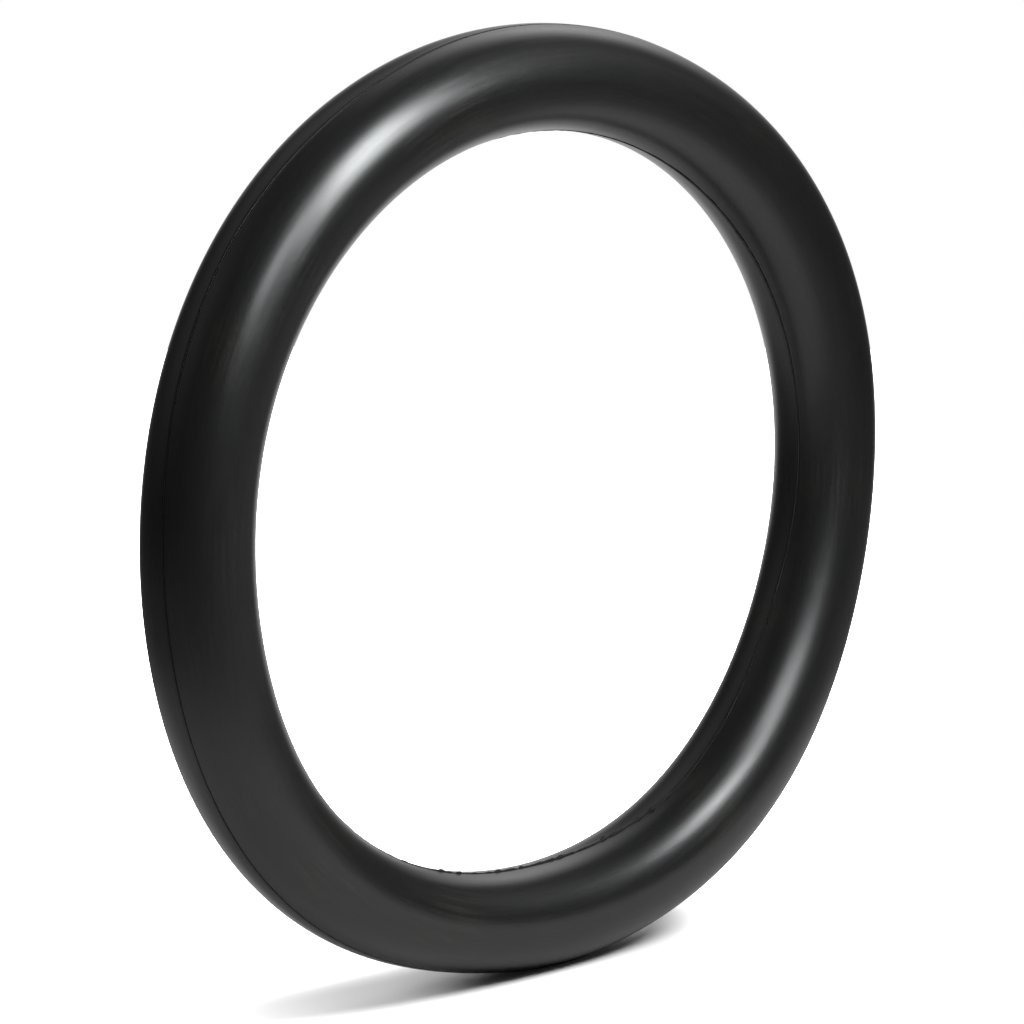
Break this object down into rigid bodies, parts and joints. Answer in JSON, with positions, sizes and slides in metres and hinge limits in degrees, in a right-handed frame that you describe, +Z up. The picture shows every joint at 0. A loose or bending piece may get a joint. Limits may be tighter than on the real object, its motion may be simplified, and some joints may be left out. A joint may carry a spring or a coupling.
{
  "type": "foam inner tube",
  "caption": "Solid closed-cell foam ring of round section that fills a tyre in place of an air-filled inner tube, with moulded skins and parting-line flash.",
  "frame": {"origin": "centre of the ring", "axes": "+Y along the ring's axis towards the back side, +Z up with the ring standing on its outer circumference; the parting lines lie towards -Y"},
  "size_m": [0.687, 0.077, 0.687],
  "materials": {
    "skin": "satin black moulded skin, smooth with a faint grain",
    "foam": "matt black closed-cell foam",
    "flash": "matt black torn flash"
  },
  "bodies": {
    "root": {"foam_core": "foam", "front_skin": "skin", "back_skin": "skin", "outer_flash": "flash", "inner_flash": "flash", "flash_nibs": "flash"}
  },
  "joints": []
}
